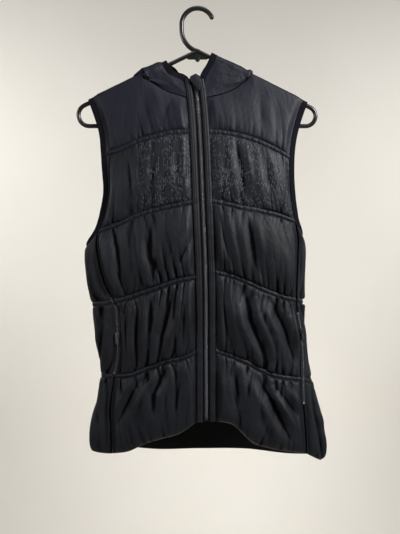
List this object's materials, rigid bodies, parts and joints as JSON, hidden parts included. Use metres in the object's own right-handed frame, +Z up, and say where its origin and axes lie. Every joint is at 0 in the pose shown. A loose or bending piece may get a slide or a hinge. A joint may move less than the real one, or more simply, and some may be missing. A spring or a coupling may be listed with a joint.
{
  "type": "puffer vest on a hanger",
  "caption": "Sleeveless quilted puffer vest with a hood, full-length front zip, bound armholes and zipped side pockets, hanging on a plastic tube hanger.",
  "frame": {"origin": "where the hanger's hook rests on its rail: the inner top of the hook", "axes": "+X the wearer's left, +Y the wearer's back, +Z up along the vest"},
  "size_m": [0.4515, 0.1301, 0.8257],
  "materials": {
    "shell_nylon": "satin woven nylon, padded",
    "knit_binding": "matt knit binding",
    "zip_tape": "matt woven tape",
    "zip_plastic": "glossy moulded teeth",
    "pull_metal": "dark grey metal",
    "hanger_plastic": "semi-gloss moulded tube"
  },
  "bodies": {
    "vest": {"front_right": "shell_nylon", "front_left": "shell_nylon", "side_right": "shell_nylon", "side_left": "shell_nylon", "back": "shell_nylon", "hood_right": "shell_nylon", "hood_left": "shell_nylon", "zip_strip_right": "shell_nylon", "zip_strip_left": "shell_nylon", "zip_garage": "shell_nylon", "hood_binding": "knit_binding", "armhole_binding_right": "knit_binding", "armhole_binding_left": "knit_binding", "zip_tape_right": "zip_tape", "zip_tape_left": "zip_tape", "pocket_zip_right": "zip_tape", "pocket_zip_left": "zip_tape", "zip_teeth": "zip_plastic", "zip_slider": "zip_plastic", "pocket_slider_right": "pull_metal", "pocket_slider_left": "pull_metal", "hanger": "hanger_plastic"},
    "pull_right": {"pocket_pull_right": "pull_metal"},
    "pull_left": {"pocket_pull_left": "pull_metal"}
  },
  "joints": [
    {"name": "pocket_pull_right", "type": "hinge", "parent": "vest", "child": "pull_right", "pos_m": [-0.14379, -0.03659, -0.56611], "axis": [-0.9675, 0.2509, -0.0322], "range_deg": [0, 150]},
    {"name": "pocket_pull_left", "type": "hinge", "parent": "vest", "child": "pull_left", "pos_m": [0.18937, -0.02137, -0.56136], "axis": [-0.7612, -0.6424, -0.0891], "range_deg": [0, 150]}
  ]
}
